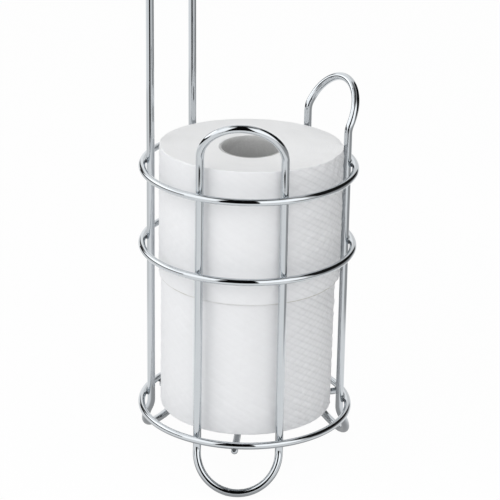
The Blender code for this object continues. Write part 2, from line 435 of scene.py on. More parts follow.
def make_ring(node, collar_angle):
    """A closed ring of wire with its collar."""
    radius = round_size(node)[1] - RING_WIRE_RADIUS
    shape = bmesh.new()
    bmesh.ops.create_circle(shape, cap_ends=False, segments=WIRE_SIDES,
                            radius=RING_WIRE_RADIUS - PLATE_INSET)
    stand_up = Matrix.Rotation(QUARTER_TURN, 4, "X")
    outwards = Matrix.Translation((radius, 0.0, 0.0))
    start = Matrix.Rotation(collar_angle - QUARTER_TURN, 4, "Z")
    bmesh.ops.transform(shape, matrix=start @ outwards @ stand_up, verts=shape.verts[:])
    spin_round(shape, RING_STEPS)
    weld = start @ Vector((radius, 0.0, 0.0))
    for vert in shape.verts:
        heart = Vector((vert.co.x, vert.co.y, 0.0)).normalized() * radius
        vert.co = heart + (vert.co - heart) * (1 + collar((heart - weld).length))
    bmesh.ops.translate(shape, vec=middle(node), verts=shape.verts[:])
    finish_piece(node + "_wire", shape, [CHROME], "stand", node)


for ring_node, ring_collar in RING_COLLARS.items():
    make_ring(ring_node, ring_collar)

# %% [markdown]
# The uprights stand inside the rings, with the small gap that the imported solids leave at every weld.
# Their sizes are written out, because a node's box doesn't tell a bend's radius, but the rings are
# measured.

# %% Sizes of the uprights
PAIR_SPACING = 57 * MM
SEAT_GAP = 0.3 * MM
FRONT_ANGLE = 0.0
RIGHT_ANGLE = 121.8 * DEGREE
LEFT_ANGLE = -120.1 * DEGREE
BEND_RADIUS = 15 * MM
FOOT_BEND_DROP = 4.1 * MM
FOOT_LENGTH = 34.5 * MM
FOOT_LEAN = 27.9 * DEGREE
ARCH_BEND_RISE = 201.8 * MM
FRONT_ARCH_LENGTH = 31.6 * MM
RIGHT_ARCH_LENGTH = 33.3 * MM
ARCH_LEAN = 26.6 * DEGREE

RING_RADIUS = round_size("bottom_ring")[1] - RING_WIRE_RADIUS
UPRIGHT_CIRCLE = RING_RADIUS - RING_WIRE_RADIUS - UPRIGHT_WIRE_RADIUS - SEAT_GAP
PAIR_REACH = math.sqrt(UPRIGHT_CIRCLE ** 2 - (PAIR_SPACING / 2) ** 2)
RING_RISES = {node: middle(node).z - CAGE.z for node in RING_COLLARS}
STATION_GAP = 1.3 * MM
STRAIGHT_GAP = 6 * MM
print("uprights stand", round(UPRIGHT_CIRCLE / MM, 2), "mm from the axis")

# %% [markdown]
# The uprights' routes follow the bender's own steps: a foot, a bend, a straight, a bend, an arch. The U
# at each end is a half circle between two legs, bent outwards as a whole. So it is drawn flat first,
# as a place to the side and a run along the wire, and then carried over the bend.

# %% Routes of the two loops
def around(angle, reach, side, rise):
    """A place round the cage's axis, above its bottom ring."""
    outward = Vector((math.sin(angle), -math.cos(angle), 0.0))
    across = Vector((math.cos(angle), math.sin(angle), 0.0))
    return CAGE + outward * reach + across * side + UP * rise


def steps_for(length, gap):
    """How many even steps a stretch takes."""
    return max(2, round(length / gap))


def past_bend(run, lean):
    """Out and along, for a wire that has run this far past the start of a bend."""
    turned = min(run / BEND_RADIUS, lean)
    straight = max(run - BEND_RADIUS * lean, 0.0)
    out = BEND_RADIUS * (1 - math.cos(turned)) + straight * math.sin(lean)
    along = BEND_RADIUS * math.sin(turned) + straight * math.cos(lean)
    return out, along


def half_u(half, length):
    """Half a U as (side, run): along its leg, then round to the middle of its tip."""
    leg = length - half
    steps = steps_for(leg, STATION_GAP)
    points = [(half, leg * step / steps) for step in range(steps)]
    steps = steps_for(QUARTER_TURN * half, STATION_GAP)
    for step in range(steps + 1):
        turn = QUARTER_TURN * step / steps
        points.append((half * math.cos(turn), leg + half * math.sin(turn)))
    return points


def end_route(angle, length, lean, bend, way):
    """Half an end of a loop, from its bend to its tip. way is 1 for an arch and -1 for a foot."""
    route = []
    for side, run in half_u(PAIR_SPACING / 2, length):
        out, along = past_bend(run, lean)
        route.append((angle, PAIR_REACH + out, side, bend + way * along))
    return route


def foot_route(angle):
    """Half a foot, from its tip up to its bend."""
    return end_route(angle, FOOT_LENGTH, FOOT_LEAN, -FOOT_BEND_DROP, -1)[::-1]


def between(start, end):
    """Even stations between two places, without the places themselves."""
    steps = steps_for(abs(end[3] - start[3]), STRAIGHT_GAP)
    shares = [step / steps for step in range(1, steps)]
    return [tuple(a + (b - a) * share for a, b in zip(start, end)) for share in shares]


def loop_route(angle, arch_length):
    """Half of a loop, from the foot's tip to the arch's tip."""
    foot = foot_route(angle)
    arch = end_route(angle, arch_length, ARCH_LEAN, ARCH_BEND_RISE, 1)
    return foot + between(foot[-1], arch[0]) + arch


# %% [markdown]
# The tall wire leans a little round the rings as it rises, then draws in to the arm's width, bends in
# over the cage and ends in a narrow U that points up, so that a roll can't slide off. Only its lower
# half shows in the photograph. The arm is the usual one for holders of this kind.

# %% Route of the tall wire
TOP_RING_TURN = 4.85 * DEGREE
TALL_TURN = 5.75 * DEGREE
TALL_LEAN_OUT = 2.3 * MM
ARM_RISE = 577.5 * MM
ARM_SPACING = 22 * MM
ARM_BEND_RADIUS = 18 * MM
ARM_OVERHANG = 58 * MM
DRAW_IN_HEIGHT = 60 * MM
DRAW_IN_BELOW_ARM = 24 * MM
ARM_END_BEND_RADIUS = 10 * MM
ARM_END_LIFT = 78 * DEGREE
BEND_STEPS = 18


def draw_in_route(angle):
    """Half of the pair where it draws in below the arm."""
    start = ARM_RISE - ARM_BEND_RADIUS - DRAW_IN_BELOW_ARM - DRAW_IN_HEIGHT
    wide = math.asin(PAIR_SPACING / 2 / UPRIGHT_CIRCLE)
    narrow = math.asin(ARM_SPACING / 2 / UPRIGHT_CIRCLE)
    steps = steps_for(DRAW_IN_HEIGHT, 2 * STATION_GAP)
    route = []
    for step in range(steps + 1):
        share = step / steps
        swing = wide + (narrow - wide) * (1 - math.cos(math.pi * share)) / 2
        reach = UPRIGHT_CIRCLE * math.cos(swing) + TALL_LEAN_OUT
        side = UPRIGHT_CIRCLE * math.sin(swing)
        route.append((angle, reach, side, start + DRAW_IN_HEIGHT * share))
    return route


def arm_end_length(bend_top):
    """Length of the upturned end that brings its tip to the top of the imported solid."""
    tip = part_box("upright_frame")[1].z - UPRIGHT_WIRE_RADIUS - CAGE.z
    return (tip - bend_top) / math.sin(ARM_END_LIFT)


def arm_route(angle):
    """Half of the arm: in over the cage, up, and round its end."""
    half = ARM_SPACING / 2
    reach = math.sqrt(UPRIGHT_CIRCLE ** 2 - half ** 2) + TALL_LEAN_OUT
    route = []
    for step in range(BEND_STEPS + 1):
        turn = QUARTER_TURN * step / BEND_STEPS
        inward = ARM_BEND_RADIUS * (1 - math.cos(turn))
        drop = ARM_BEND_RADIUS * (1 - math.sin(turn))
        route.append((angle, reach - inward, half, ARM_RISE - drop))
    bend_end = reach - ARM_BEND_RADIUS
    steps = steps_for(bend_end + ARM_OVERHANG, STRAIGHT_GAP)
    for step in range(1, steps):
        route.append((angle, bend_end - (bend_end + ARM_OVERHANG) * step / steps, half, ARM_RISE))
    for step in range(BEND_STEPS + 1):
        turn = ARM_END_LIFT * step / BEND_STEPS
        inward = ARM_END_BEND_RADIUS * math.sin(turn)
        lift = ARM_END_BEND_RADIUS * (1 - math.cos(turn))
        route.append((angle, -ARM_OVERHANG - inward, half, ARM_RISE + lift))
    bend_in, bend_top = route[-1][1], route[-1][3]
    for side, run in half_u(half, arm_end_length(bend_top))[1:]:
        route.append((angle, bend_in - run * math.cos(ARM_END_LIFT), side,
                      bend_top + run * math.sin(ARM_END_LIFT)))
    return route


def tall_route():
    """Half of the tall wire: foot, top ring, draw-in, arm."""
    foot = foot_route(LEFT_ANGLE)
    ring = (LEFT_ANGLE + TOP_RING_TURN, PAIR_REACH, PAIR_SPACING / 2, RING_RISES["top_ring"])
    draw_in = draw_in_route(LEFT_ANGLE + TALL_TURN)
    arm = arm_route(LEFT_ANGLE + TALL_TURN)
    lower = foot + between(foot[-1], ring) + [ring] + between(ring, draw_in[0]) + draw_in
    return lower + between(draw_in[-1], arm[0]) + arm


# %% [markdown]
# Half a route becomes a whole wire by mirroring it across the pair's middle. The two ends meet in the
# foot, a little to one side of its middle, and there the photograph shows the mark of a butt weld.
# Where a foot touches the floor the wire is worn flat by a hair, and that gives it a face to stand on.

# %% Uprights
FOOT_COLLAR_OFFSET = 6 * MM


def closed_wire(half):
    """Both halves of a wire, from the foot's tip up one side and down the other."""
    right = [around(*place) for place in half]
    left = [around(angle, reach, -side, rise) for angle, reach, side, rise in half]
    return right + left[-2:0:-1]


def collar_sizes(points, side):
    """Thickness along a closed wire whose butt weld is this far from the foot's tip."""
    near = [index for index in range(len(points)) if (points[index] - points[0]).length < 2 * side]
    back = [index for index in near if index > len(points) / 2]
    spot = min(back, key=lambda index: abs((points[index] - points[0]).length - side))
    return [1 + collar((point - points[spot]).length) for point in points]


def stand_flat(shape):
    """Cut the wire where it meets the floor, and close the cut."""
    everything = shape.verts[:] + shape.edges[:] + shape.faces[:]
    cut = bmesh.ops.bisect_plane(shape, geom=everything, plane_co=(0.0, 0.0, 0.0), plane_no=-UP,
                                 clear_outer=True)
    rim = [item for item in cut["geom_cut"] if isinstance(item, bmesh.types.BMEdge)]
    bmesh.ops.holes_fill(shape, edges=rim, sides=0)


def make_upright(node, half):
    """A closed upright wire that stands flat on its foot."""
    points = closed_wire(half)
    sizes = collar_sizes(points, FOOT_COLLAR_OFFSET)
    shape = sweep_wire(points, UPRIGHT_WIRE_RADIUS - PLATE_INSET, True, sizes)
    stand_flat(shape)
    finish_piece(node + "_wire", shape, [CHROME], "stand", node)


make_upright("front_loop", loop_route(FRONT_ANGLE, FRONT_ARCH_LENGTH))
make_upright("right_loop", loop_route(RIGHT_ANGLE, RIGHT_ARCH_LENGTH))
make_upright("upright_frame", tall_route())

# %% [markdown]
# Three straight wires make the cage's floor. Each is welded under the bottom ring and rises a little to
# the middle, where they meet in one spot weld. Their sheared ends are tumbled round before plating, so
# a route is given a short taper at its outer end.

# %% Floor wires
FLOOR_ANGLES = {
    "floor_wire_front": -1.4 * DEGREE,
    "floor_wire_right": 118.6 * DEGREE,
    "floor_wire_left": -118.3 * DEGREE,
}
FLOOR_END_INSET = 0.8 * MM
FLOOR_HUB_RADIUS = 1.8 * MM
ROLL_SEAT = 2 * MM
CORE_BORE = 20.5 * MM
END_ROUND = 1.3 * MM
END_STEPS = 6

FLOOR_REACH = RING_RADIUS - FLOOR_END_INSET
RING_DROP = RING_WIRE_RADIUS + SEAT_GAP + FLOOR_WIRE_RADIUS
CORE_DROP = SEAT_GAP + FLOOR_WIRE_RADIUS - ROLL_SEAT
FLOOR_SLOPE = (RING_DROP - CORE_DROP) / (FLOOR_REACH - CORE_BORE)
HUB_DROP = RING_DROP - FLOOR_SLOPE * (FLOOR_REACH - FLOOR_HUB_RADIUS)


def make_floor_wire(node, angle):
    """A straight wire with a rounded outer end."""
    outer = around(angle, FLOOR_REACH, 0.0, -RING_DROP)
    inner = around(angle, FLOOR_HUB_RADIUS, 0.0, -HUB_DROP)
    inward = (inner - outer).normalized()
    points = []
    sizes = []
    for step in range(END_STEPS + 1):
        turn = QUARTER_TURN * step / END_STEPS
        points.append(outer + inward * END_ROUND * (1 - math.cos(turn)))
        sizes.append(1 - (1 - math.sin(turn)) * END_ROUND / FLOOR_WIRE_RADIUS)
    steps = steps_for((inner - outer).length, STRAIGHT_GAP)
    rest = points[-1]
    points += [rest + (inner - rest) * step / steps for step in range(1, steps + 1)]
    sizes += [1.0] * steps
    shape = sweep_wire(points, FLOOR_WIRE_RADIUS - PLATE_INSET, False, sizes)
    finish_piece(node + "_rod", shape, [CHROME], "stand", node)


for floor_node, floor_angle in FLOOR_ANGLES.items():
    make_floor_wire(floor_node, floor_angle)

# %% [markdown]
# Crossed wires are spot-welded: they sink into each other a little, and the metal that is pressed out
# makes a small saddle between them. The saddle is long along one wire at one end and long along the
# other wire at the other end, so it is a short stack of ovals whose long side turns over on the way.

# %% Weld saddles
SADDLE_NECK = 1.35 * MM
SADDLE_FLARE = 1.5 * MM
SADDLE_DEPTH = 1.0 * MM
SADDLE_STEPS = 10
SADDLE_SIDES = 24


def add_saddle(shape, place, outward, along):
    """A saddle at this place. It is long along the inner wire, and outside it turns crosswise."""
    across = outward.cross(along).normalized()
    along = across.cross(outward).normalized()
    turn = Matrix((along, across, outward)).transposed().to_4x4()
    frames = []
    for step in range(SADDLE_STEPS + 1):
        rise = 2 * step / SADDLE_STEPS - 1
        flare = SADDLE_FLARE * rise ** 2
        inner = 1 + (flare / SADDLE_NECK if rise < 0 else 0.0)
        outer = 1 + (flare / SADDLE_NECK if rise > 0 else 0.0)
        spot = place + outward * SADDLE_DEPTH * rise
        frames.append(Matrix.Translation(spot) @ turn @ Matrix.Diagonal((inner, outer, 1.0, 1.0)))
    part = bmesh.new()
    bmesh.ops.create_circle(part, cap_ends=False, segments=SADDLE_SIDES, radius=SADDLE_NECK)
    first, last = extrude_sections(part, frames)
    for rim in (first, last):
        bmesh.ops.holes_fill(part, edges=rim, sides=0)
    bmesh.ops.recalc_face_normals(part, faces=part.faces[:])
    mesh = bpy.data.meshes.new("saddle")
    part.to_mesh(mesh)
    part.free()
    shape.from_mesh(mesh)
    bpy.data.meshes.remove(mesh)


def upright_at(angle, side, rise):
    """Where an upright's centre line is, this far above the bottom ring."""
    if angle != LEFT_ANGLE:
        return around(angle, PAIR_REACH, side, rise)
    share = (rise + FOOT_BEND_DROP) / (RING_RISES["top_ring"] + FOOT_BEND_DROP)
    return around(angle + TOP_RING_TURN * share, PAIR_REACH, side, rise)


def make_ring_welds(node):
    """The six saddles between a ring and the uprights."""
    shape = bmesh.new()
    centre = middle(node)
    for angle in (FRONT_ANGLE, RIGHT_ANGLE, LEFT_ANGLE):
        for side in (-PAIR_SPACING / 2, PAIR_SPACING / 2):
            outward = upright_at(angle, side, RING_RISES[node]) - centre
            seam = (outward.length + UPRIGHT_WIRE_RADIUS + RING_RADIUS - RING_WIRE_RADIUS) / 2
            outward.normalize()
            add_saddle(shape, centre + outward * seam, outward, UP)
    finish_piece(node + "_welds", shape, [WELD], "stand", None)


for ring_node in RING_RISES:
    make_ring_welds(ring_node)

# %% [markdown]
# The floor wires cross under the bottom ring, so their saddles stand upright. Where the three meet, the
# weld has drawn their ends into one drop of metal, and a slightly flat ball is enough for it.

# %% Floor welds
HUB_RADIUS = 3.3 * MM
HUB_HEIGHT_SHARE = 0.72
HUB_SIDES = 32
HUB_ROWS = 18

floor_welds = bmesh.new()
for floor_angle in FLOOR_ANGLES.values():
    outward = around(floor_angle, 1.0, 0.0, 0.0) - CAGE
    below_ring = around(floor_angle, RING_RADIUS, 0.0, -RING_WIRE_RADIUS - SEAT_GAP / 2)
    add_saddle(floor_welds, below_ring, UP, outward)
flattened = Matrix.Diagonal((1.0, 1.0, HUB_HEIGHT_SHARE, 1.0))
hub = Matrix.Translation(around(0.0, 0.0, 0.0, -HUB_DROP)) @ flattened
bmesh.ops.create_uvsphere(floor_welds, u_segments=HUB_SIDES, v_segments=HUB_ROWS, radius=HUB_RADIUS,
                          matrix=hub)
finish_piece("floor_welds", floor_welds, [WELD], "stand", None)

# %% [markdown]
# A roll is one long sheet, wound on a card tube. Outside it is soft, and quilted with slanting creases
# that cross in a diamond pattern, and the creases are darkened with painted shade. Its ends show the
# edges of the layers as fine rings. The creases are waves that run round the roll and up it at once, so
# they close behind it without a join. They and their painted shade are weaker towards the front and
# left.

# %% Paper finishes
QUILT_RISE = 9.8 * MM
QUILT_COUNT = 23
CROSS_SHARE = 0.6
SPECKLE_COUNT = 264
SPECKLE_RISE = 1.5 * MM
SEAM_SHADE = 0.55 * MM
SEAM_LIT = -8 * DEGREE
SEAM_LIT_WIDTH = 0.3
SEAM_LIT_SOFT = 0.45
SEAM_LIT_SHARE = 0.75
FLAT_FROM = -100 * DEGREE
FLAT_TO = 23 * DEGREE
FLAT_SOFT = 23 * DEGREE
FLAT_SHARE = 0.88
TISSUE_DARK = (0.845, 0.853, 0.868, 1.0)
TISSUE_LIGHT = (0.862, 0.869, 0.883, 1.0)
# painted shade in the quilting's creases
CREASE_PAINTED_SHADE = (0.66, 0.67, 0.69, 1.0)
# painted shade where the two rolls meet
SEAM_SHADE_COLOUR = (0.5, 0.49, 0.43, 1.0)
LAYER_DARK = (0.8, 0.806, 0.812, 1.0)
LAYER_LIGHT = (0.87, 0.875, 0.88, 1.0)


def roll_place(graph, centre):
    """Object coordinates, with the sides counted from a roll's axis."""
    x, y, z = graph.axes(graph.place())
    return x - centre.x, y - centre.y, z


def tissue_side_finish(centre, seam):
    """The outside of the wound tissue, with its fine embossing, painted shade in its creases, and a
    painted shade where two rolls meet.
    """
    material, graph = new_finish("tissue_side")
    place = graph.place()
    x, y, z = roll_place(graph, centre)
    turn = graph.turn(x, y)
    dots = graph.sum("SINE", turn * SPECKLE_COUNT)
    dots = dots * graph.sum("SINE", z * (FULL_TURN / SPECKLE_RISE))
    around_roll = turn * QUILT_COUNT
    along_roll = z * (FULL_TURN / QUILT_RISE)
    lattice = 0.0
    for way, weight in ((1, 1.0), (-1, CROSS_SHARE)):
        ridge = 0.5 + 0.5 * graph.sum("COSINE", 2 * (around_roll + way * along_roll))
        lattice = lattice + weight * graph.sum("POWER", ridge, 4.0)
    flat = graph.window(turn, FLAT_FROM, FLAT_TO, FLAT_SOFT)
    lattice = lattice * (1 - FLAT_SHARE * flat)
    fibre = graph.cloud(place, 1600.0, 4.0)
    drift = graph.cloud(place, 45.0)
    white = graph.tint(drift, TISSUE_DARK, TISSUE_LIGHT)
    # Painted shade in the creases: the quilting lattice darkens the tissue's colour.
    white = graph.tint(lattice * 0.3, white, CREASE_PAINTED_SHADE)
    # Painted shade where the two rolls meet, made lighter near the front where light falls on the seam.
    shade = graph.window(z, seam - SEAM_SHADE, seam + SEAM_SHADE, SEAM_SHADE)
    lit = graph.window(turn, SEAM_LIT - SEAM_LIT_WIDTH, SEAM_LIT + SEAM_LIT_WIDTH, SEAM_LIT_SOFT)
    shade = shade * (1 - SEAM_LIT_SHARE * lit)
    graph.principled({
        "Base Color": graph.tint(shade, white, SEAM_SHADE_COLOUR),
        "Roughness": 0.9,
        "Specular IOR Level": 0.2,
        "Normal": graph.bump(fibre * 0.6 + dots * 0.25 - lattice * 1.6, 0.4, 0.3 * MM),
    })
    return material


def tissue_end_finish(centre):
    """The ends of the roll, where the layers show as fine rings."""
    material, graph = new_finish("tissue_end")
    x, y = roll_place(graph, centre)[:2]
    layers = graph.node("ShaderNodeTexNoise", {"noise_dimensions": "1D"},
                        {"W": graph.reach(x, y), "Scale": 1700.0, "Detail": 3.0}, "Fac")
    fibre = graph.cloud(graph.place(), 1300.0, 3.0)
    graph.principled({
        "Base Color": graph.tint(layers, LAYER_DARK, LAYER_LIGHT),
        "Roughness": 0.95,
        "Specular IOR Level": 0.15,
        "Normal": graph.bump(layers * 0.8 + fibre * 0.3, 0.5, 0.4 * MM),
    })
    return material


# %% [markdown]
# The paper's shape starts plain. A section is drawn with only its corners, its long edges are
# subdivided, and it is spun round the axis. That leaves a fine, even net of points to press in.

# %% Plain rolls
PAPER_EDGE = 1 * MM
EDGE_STEPS = 5
ROLL_STEPS = 480
SIDE_CUTS = 112
END_CUTS = 38


def roll_section(bore, radius, length):
    """Corners of half a roll's section, as (reach, height)."""
    corners = [(bore, 0.0)]
    turns = [QUARTER_TURN * step / EDGE_STEPS for step in range(EDGE_STEPS + 1)]
    for turn in turns:
        corners.append((radius - PAPER_EDGE * (1 - math.sin(turn)), PAPER_EDGE * (1 - math.cos(turn))))
    for turn in turns:
        inset = PAPER_EDGE * (1 - math.cos(turn))
        corners.append((radius - inset, length - PAPER_EDGE * (1 - math.sin(turn))))
    return corners + [(bore, length)]


def spin_section(section, cuts, steps):
    """A closed section spun round the Z axis, with its edges cut finer where cuts says so."""
    shape = bmesh.new()
    verts = [shape.verts.new((reach, 0.0, height)) for reach, height in section]
    edges = [shape.edges.new((verts[index - 1], verts[index])) for index in range(len(verts))]
    for index, count in cuts.items():
        bmesh.ops.subdivide_edges(shape, edges=[edges[index]], cuts=count)
    spin_round(shape, steps)
    return shape


# %% [markdown]
# The quilting's depth is worked out from a point's turn and height. One set of creases slants down to
# the right, a weaker one slants up, and small pillows lie between them. The finish alone could fake
# this, but the roll's outline would stay smooth.

# %% Quilting
CREASE_WIDTH = 1.0 * MM
CREASE_SLOPE = 30 * DEGREE
UP_CREASE = 0.55
PILLOW_DEPTH = 0.12


def crease(position, spacing):
    """1 on a crease, falling to 0 beside it. position counts creases."""
    away = (position - round(position)) * spacing
    return math.exp(-(away / CREASE_WIDTH) ** 2)


def quilting(turn, height):
    """How deep the quilting is pressed in here, from 0 to 1."""
    spacing = QUILT_RISE * math.cos(CREASE_SLOPE)
    down = crease(turn * QUILT_COUNT / FULL_TURN + height / QUILT_RISE, spacing)
    up = crease(turn * QUILT_COUNT / FULL_TURN - height / QUILT_RISE, spacing)
    pillow = math.sin(3 * QUILT_COUNT * turn) * math.sin(6 * math.pi * height / QUILT_RISE)
    return min(1.0, max(down, UP_CREASE * up) + PILLOW_DEPTH * (1 + pillow))


# %% [markdown]
# Real rolls are never quite true. An end is dished or tilted from handling, and a side bulges where it
# is pressed out between two wires. Each roll has such habits, and every point takes its share of them.

# %% Rolls out of true
BULGE_WIDTH = 11 * DEGREE


def away_from(turn, other):
    """How far apart two turns are, the short way round."""
    return abs((turn - other + math.pi) % FULL_TURN - math.pi)


def settle_paper(shape, bore, radius, length, habits):
    """Give a plain roll its habits: a top that is out of true, and a side that is pressed out."""
    rim, rim_lean, eye, eye_lean, bulge, bulge_turn, bulge_foot = habits
    for vert in shape.verts:
        reach = vert.co.xy.length
        turn = math.atan2(vert.co.x, -vert.co.y)
        height = vert.co.z / length
        share = max(0.0, (reach - bore) / (radius - bore))
        rim_rise = rim + rim_lean * math.cos(turn)
        eye_rise = eye + eye_lean * math.cos(turn)
        out = bulge * math.exp(-(away_from(turn, bulge_turn) / BULGE_WIDTH) ** 2)
        out *= share ** 4 * (bulge_foot + (1 - bulge_foot) * height)
        vert.co.z += (eye_rise + (rim_rise - eye_rise) * share) * height ** 3
        vert.co.xy *= 1 + out / max(reach, bore)


# %% [markdown]
# The side is pressed in by the quilting and by soft lumps, and it steps down where the last sheet ends.
# On the roll's ends some layers stand a little proud of others. Blender's smooth noise gives both the
# lumps and the layers, and a seed takes each roll to another part of the noise.

# %% Surface of the rolls
QUILT_DEPTH = 0.12 * MM
QUILT_EXTRA = 0.4 * MM
QUILT_FLAT_TURN = -35 * DEGREE
QUILT_FLAT_SPREAD = 72 * DEGREE
LUMP_DEPTH = 0.22 * MM
LUMP_EXTRA = 1.6
SHEET_STEP = 0.35 * MM
SOFTNESS = 0.3 * MM
LAYER_DEPTH = 0.3 * MM
SOFT_GRAIN = (3, 25)
LUMP_GRAIN = (13, 170)
LAYER_GRAIN = (900, 1)
RIPPLE_GRAIN = (120, 2)
DENT_GRAIN = 110


def side_noise(outward, height, grain, seed):
    """Smooth noise on a roll's side. The grain is its fineness round the roll and up it."""
    return noise.noise(Vector((outward.x * grain[0], outward.y * grain[0], height * grain[1] + seed)))


def end_noise(outward, reach, grain, seed):
    """Smooth noise on a roll's end. The grain is its fineness outwards and round the roll."""
    return noise.noise(Vector((reach * grain[0], outward.x * grain[1], outward.y * grain[1] + seed)))


def press_paper(shape, bore, radius, length, tail, seed):
    """Press the quilting, the layers and the sheet's edge into a plain roll."""
    for vert in shape.verts:
        reach = vert.co.xy.length
        height = vert.co.z
        if reach < bore + SEAT_GAP:
            continue
        turn = math.atan2(vert.co.x, -vert.co.y)
        outward = Vector((vert.co.x, vert.co.y, 0.0)) / reach
        side = min(1.0, max(0.0, (reach - radius + PAPER_EDGE) / PAPER_EDGE))
        past_tail = ((turn - tail) / FULL_TURN) % 1.0
        soft = side_noise(outward, height, SOFT_GRAIN, seed)
        stand_out = 1 - math.exp(-(away_from(turn, QUILT_FLAT_TURN) / QUILT_FLAT_SPREAD) ** 4)
        lump = side_noise(outward, height, LUMP_GRAIN, seed)
        lump *= (0.5 + 0.5 * side) * (1 + LUMP_EXTRA * stand_out)
        inward = (QUILT_DEPTH + QUILT_EXTRA * stand_out) * quilting(turn, height) * side ** 2
        inward += side * (SHEET_STEP * past_tail + SOFTNESS * (0.5 + 0.5 * soft) + LUMP_DEPTH * lump)
        layer = end_noise(outward, reach, LAYER_GRAIN, seed)
        ripple = end_noise(outward, reach, RIPPLE_GRAIN, seed)
        dent = noise.noise(Vector((vert.co.x * DENT_GRAIN, vert.co.y * DENT_GRAIN, seed)))
        sink = LAYER_DEPTH * (0.6 + 0.25 * layer + 0.4 * ripple + 0.7 * dent) * (1 - side)
        vert.co -= outward * inward
        vert.co.z += sink if height < length / 2 else -sink


# %% [markdown]
# Two rolls stand in the cage, one on the other. Their habits are read off the photograph: the upper
# one's top is dished and stands higher in front than behind, and both bulge at the right. A face that
# looks up or down gets the finish of the ends.

# %% Rolls
END_FACING = math.cos(50 * DEGREE)
ROLL_ENDS = {
    # turn of the last sheet's edge, seed of the noise
    "lower_roll": (148 * DEGREE, 3.1),
    "upper_roll": (-155 * DEGREE, 7.7),
}
ROLL_HABITS = {
    # rise and lean of the top's rim, then of its eye, bulge, turn of the bulge, its share at the foot
    "lower_roll": (0.0, 0.0, 0.0, 0.0, 0.8 * MM, 91 * DEGREE, 0.0),
    "upper_roll": (0.1 * MM, 2.6 * MM, -1.5 * MM, -0.7 * MM, 0.9 * MM, 89 * DEGREE, 0.8),
}


def make_paper(roll):
    """The wound paper of one roll."""
    foot, radius, length = round_size(roll + "_paper")
    bore = round_size(roll + "_core")[1] + SEAT_GAP
    section = roll_section(bore, radius, length)
    last = len(section) - 1
    cuts = {1: END_CUTS // 2, EDGE_STEPS + 2: SIDE_CUTS, last: END_CUTS}
    shape = spin_section(section, cuts, ROLL_STEPS)
    press_paper(shape, bore, radius, length, *ROLL_ENDS[roll])
    settle_paper(shape, bore, radius, length, ROLL_HABITS[roll])
    bmesh.ops.translate(shape, vec=foot, verts=shape.verts[:])
    for face in shape.faces:
        face.normal_update()
        face.material_index = 1 if abs(face.normal.z) > END_FACING else 0
    seam = (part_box("lower_roll_paper")[1].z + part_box("upper_roll_paper")[0].z) / 2
    materials = [tissue_side_finish(foot, seam), tissue_end_finish(foot)]
    finish_piece(roll + "_wound_paper", shape, materials, roll, roll + "_paper")


for roll_name in ROLL_HABITS:
    make_paper(roll_name)

# %% [markdown]
# The core is a tube wound from strips of grey card, so a seam runs round it like a screw thread. It is
# a spun section with broken edges, and the seam is part of its finish.

# %% Card cores
CARD_EDGE = 0.3 * MM
CARD_PITCH = 78 * MM
CARD_STEPS = 160
CARD_CUTS = 24
SEAM_WIDTH = 0.014
CARD_DARK = (0.4, 0.402, 0.4, 1.0)
CARD_LIGHT = (0.54, 0.543, 0.54, 1.0)


def card_finish(centre):
    """Grey card with a winding seam."""
    material, graph = new_finish("core_card")
    x, y, z = roll_place(graph, centre)
    winding = graph.sum("FRACT", graph.turn(x, y) / FULL_TURN + z / CARD_PITCH)
    seam = graph.window(winding, 0.5 - SEAM_WIDTH, 0.5 + SEAM_WIDTH, SEAM_WIDTH)
    fibre = graph.cloud(graph.place(), 700.0, 5.0)
    graph.principled({
        "Base Color": graph.tint(fibre * (1 - 0.4 * seam), CARD_DARK, CARD_LIGHT),
        "Roughness": 0.85,
        "Normal": graph.bump(fibre - 0.6 * seam, 0.4, 0.2 * MM),
    })
    return material


def make_core(roll):
    """The card tube of one roll."""
    foot, outer, length = round_size(roll + "_core")
    bore = outer + SEAT_GAP
    near, far, top = CORE_BORE + CARD_EDGE, outer - CARD_EDGE, length - CARD_EDGE
    section = [(CORE_BORE, CARD_EDGE), (near, 0.0), (far, 0.0), (outer, CARD_EDGE),
               (outer, top), (far, length), (near, length), (CORE_BORE, top)]
    shape = spin_section(section, {0: CARD_CUTS}, CARD_STEPS)
    settle_paper(shape, bore, 2 * bore, length, ROLL_HABITS[roll])
    bmesh.ops.translate(shape, vec=foot, verts=shape.verts[:])
    finish_piece(roll + "_card_core", shape, [card_finish(foot)], roll, roll + "_core")


for roll_name in ROLL_HABITS:
    make_core(roll_name)

# %% [markdown]
# The floor is plain and white. It is lit like everything else, so it keeps the shadow of the stand,
# and a share of plain white is mixed in for the camera and for reflections, as a lit backdrop has. For
# reflections only, it is dark far in front, where the white cloth ends, greyer at both sides, and
# shaded under the stand.

# %% Floor
FLOOR_RADIUS = 3.0
FLOOR_SIDES = 96
FLOOR_WHITE = (0.82, 0.82, 0.82, 1.0)
FLOOR_GLOW = 0.97
FLOOR_SHADES = [
    # turn from, turn to, soft edge, reach from, reach to, soft reach, level
    (-30, 14, 4, 0.69, 9.0, 0.04, 0.003),
    (55, 128, 12, 0.35, 9.0, 0.1, 0.4),
    (-150, -60, 12, 0.35, 9.0, 0.1, 0.85),
    (-180, 180, 1, -1.0, 0.07, 0.06, 0.4),
]


def floor_finish():
    """Matt white that glows, and whose mirror image is shaded."""
    material, graph = new_finish("studio_floor")
    x, y = graph.axes(graph.place())[:2]
    turn = graph.turn(x, y) * IN_DEGREES
    reach = graph.reach(x, y)
    mirrored = graph.ray("Is Glossy Ray")
    level = 1.0
    for left, right, soft, near, far, soft_reach, shade in FLOOR_SHADES:
        mask = graph.window(turn, left, right, soft) * graph.window(reach, near, far, soft_reach)
        level = level + mask * mirrored * (shade - level)
    sockets = {0: graph.looking() * FLOOR_GLOW, 1: graph.paint(FLOOR_WHITE), 2: graph.glow(level)}
    graph.surface(graph.node("ShaderNodeMixShader", {}, sockets, 0))
    return material


